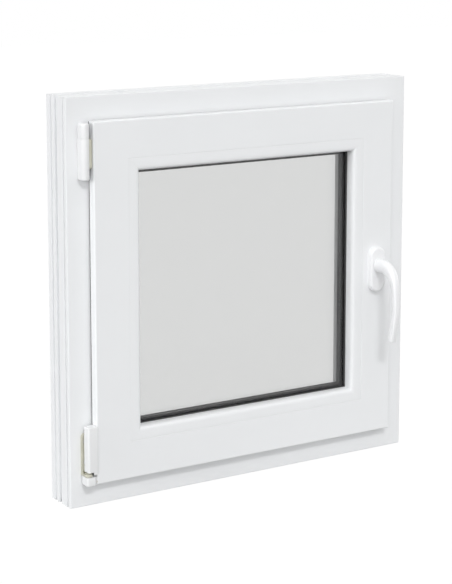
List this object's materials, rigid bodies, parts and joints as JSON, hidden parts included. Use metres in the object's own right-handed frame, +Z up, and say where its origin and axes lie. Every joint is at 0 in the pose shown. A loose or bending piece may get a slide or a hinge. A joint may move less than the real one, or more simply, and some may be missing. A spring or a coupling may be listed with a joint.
{
  "type": "casement window",
  "caption": "Square white plastic tilt-and-turn window with double glazing, a handle, and hinges on the left.",
  "frame": {"origin": "under the middle of the sill, on its seating ridge, 19.5 mm behind the frame's room face", "axes": "+X from the hinge jamb to the lock jamb, +Y from the room to the outdoors, +Z up"},
  "size_m": [0.6, 0.1407, 0.6],
  "materials": {
    "upvc_white": "satin white extruded plastic",
    "gasket_rubber": "matt black rubber",
    "galvanised_steel": "dull zinc plated steel",
    "zinc_hardware": "cast zinc with a beige passivated finish",
    "cap_white": "satin white moulded plastic",
    "handle_white": "white powder coated aluminium",
    "clear_glass": "clear float glass",
    "spacer_black": "matt black"
  },
  "bodies": {
    "frame": {"frame_head": "upvc_white", "frame_sill": "upvc_white", "frame_hinge_jamb": "upvc_white", "frame_lock_jamb": "upvc_white", "frame_steel_bars": "galvanised_steel", "frame_stop_gasket": "gasket_rubber", "drain_caps": "cap_white", "striker_plates": "zinc_hardware", "tilt_keep": "zinc_hardware", "keep_screws": "galvanised_steel", "corner_bearing": "zinc_hardware", "corner_bearing_screws": "galvanised_steel", "stay_bearing": "zinc_hardware", "stay_bearing_screws": "galvanised_steel", "stay_bearing_cover": "cap_white", "stay_pin": "galvanised_steel"},
    "turn_pivot": {"pivot_yoke": "zinc_hardware", "pivot_cap": "cap_white"},
    "stay": {"stay_arm": "galvanised_steel", "stay_stud": "galvanised_steel", "stay_knuckle_cover": "cap_white"},
    "sash": {"sash_top_rail": "upvc_white", "sash_bottom_rail": "upvc_white", "sash_hinge_stile": "upvc_white", "sash_lock_stile": "upvc_white", "sash_steel_bars": "galvanised_steel", "overlap_gasket": "gasket_rubber", "inner_pane": "clear_glass", "outer_pane": "clear_glass", "spacer_bar": "spacer_black", "edge_seal": "spacer_black", "setting_blocks": "spacer_black", "glazing_bead_top": "upvc_white", "glazing_bead_bottom": "upvc_white", "glazing_bead_hinge": "upvc_white", "glazing_bead_lock": "upvc_white", "bead_gasket": "gasket_rubber", "outer_glazing_gasket": "gasket_rubber", "tilt_bush": "zinc_hardware", "hinge_band": "zinc_hardware", "hinge_band_screws": "galvanised_steel", "hinge_band_cover": "cap_white", "stay_guide": "galvanised_steel", "faceplate_lock": "galvanised_steel", "faceplate_top": "galvanised_steel", "faceplate_bottom": "galvanised_steel", "faceplate_screws": "galvanised_steel", "corner_drives": "galvanised_steel", "gearbox_case": "galvanised_steel", "handle_base": "zinc_hardware", "rosette_cover": "handle_white", "handle_screws": "galvanised_steel"},
    "handle": {"handle_lever": "handle_white", "spindle": "galvanised_steel", "pinion": "galvanised_steel"},
    "lock_rod": {"lock_rod": "galvanised_steel", "lock_cams": "galvanised_steel"},
    "top_rod": {"top_rod": "galvanised_steel"},
    "bottom_rod": {"bottom_rod": "galvanised_steel"}
  },
  "joints": [
    {"name": "turn", "type": "hinge", "parent": "frame", "child": "turn_pivot", "pos_m": [-0.2765, -0.0318, 0.05], "axis": [0, 0, -1], "range_deg": [0, 90]},
    {"name": "tilt", "type": "hinge", "parent": "turn_pivot", "child": "sash", "pos_m": [-0.26, -0.0318, 0.04], "axis": [1, 0, 0], "range_deg": [0, 8]},
    {"name": "stay_swing", "type": "hinge", "parent": "turn_pivot", "child": "stay", "pos_m": [-0.2765, -0.0318, 0.55], "axis": [0, 0, -1], "range_deg": [0, 16]},
    {"name": "handle_turn", "type": "hinge", "parent": "sash", "child": "handle", "pos_m": [0.233, -0.05, 0.3], "axis": [0, 1, 0], "range_deg": [0, 180]},
    {"name": "lock_rod_slide", "type": "slide", "parent": "sash", "child": "lock_rod", "axis": [0, 0, -1], "range_m": [0, 0.02199]},
    {"name": "top_rod_slide", "type": "slide", "parent": "sash", "child": "top_rod", "axis": [1, 0, 0], "range_m": [0, 0.02199]},
    {"name": "bottom_rod_slide", "type": "slide", "parent": "sash", "child": "bottom_rod", "axis": [-1, 0, 0], "range_m": [0, 0.02199]}
  ],
  "couplings": [
    {"joint": "stay_swing", "follows": "tilt", "ratio": 2},
    {"joint": "lock_rod_slide", "follows": "handle_turn", "m_per_rad": 0.007},
    {"joint": "top_rod_slide", "follows": "handle_turn", "m_per_rad": 0.007},
    {"joint": "bottom_rod_slide", "follows": "handle_turn", "m_per_rad": 0.007}
  ]
}
